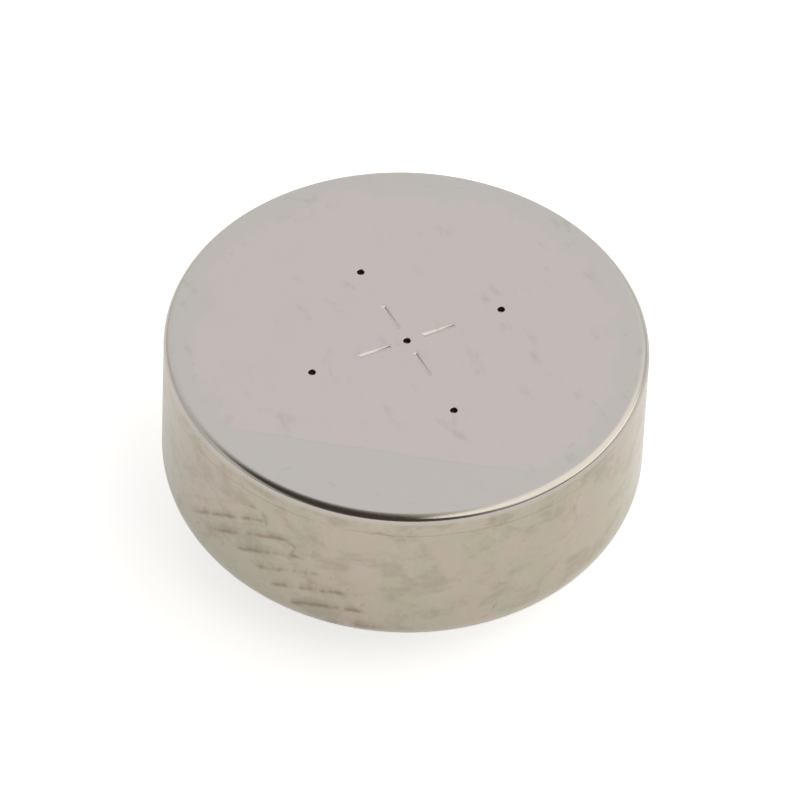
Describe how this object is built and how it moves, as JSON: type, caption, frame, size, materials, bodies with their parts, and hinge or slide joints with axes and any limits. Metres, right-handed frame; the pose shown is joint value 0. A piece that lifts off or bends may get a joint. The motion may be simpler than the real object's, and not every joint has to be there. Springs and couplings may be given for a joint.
{
  "type": "zinc-air button cell",
  "caption": "Round zinc-air button cell: flat vented positive can with a stamped plus mark, crimped over a gasket around a stepped negative cap.",
  "frame": {"origin": "centre of the anode cap's outer face, the negative contact that the cell stands on", "axes": "+Z along the cell's axis, from the cap towards the closed end of the can with its air holes; +X along one arm of the plus mark"},
  "size_m": [0.0116, 0.0116, 0.0054],
  "materials": {
    "nickel_plated_steel": "satin nickel plate, lightly handled",
    "clad_steel": "bright nickel outside, copper inside",
    "nylon": "natural nylon",
    "diffusion_paper": "porous filter paper",
    "white_film": "waxy white fluoropolymer film",
    "carbon_catalyst": "matt black pressed carbon",
    "nickel_mesh": "nickel-plated flattened wire",
    "separator": "smooth microporous film",
    "absorbent": "non-woven fibre",
    "zinc_gel": "wet grey zinc powder in gel"
  },
  "bodies": {
    "root": {"cathode_can": "nickel_plated_steel", "air_diffusion_paper": "diffusion_paper", "air_membrane": "white_film", "backing_film": "white_film", "catalyst_disc": "carbon_catalyst", "collector_mesh": "nickel_mesh", "separator_film": "separator", "absorbent_layer": "absorbent", "gasket": "nylon", "zinc_anode": "zinc_gel", "anode_cap": "clad_steel"}
  },
  "joints": []
}
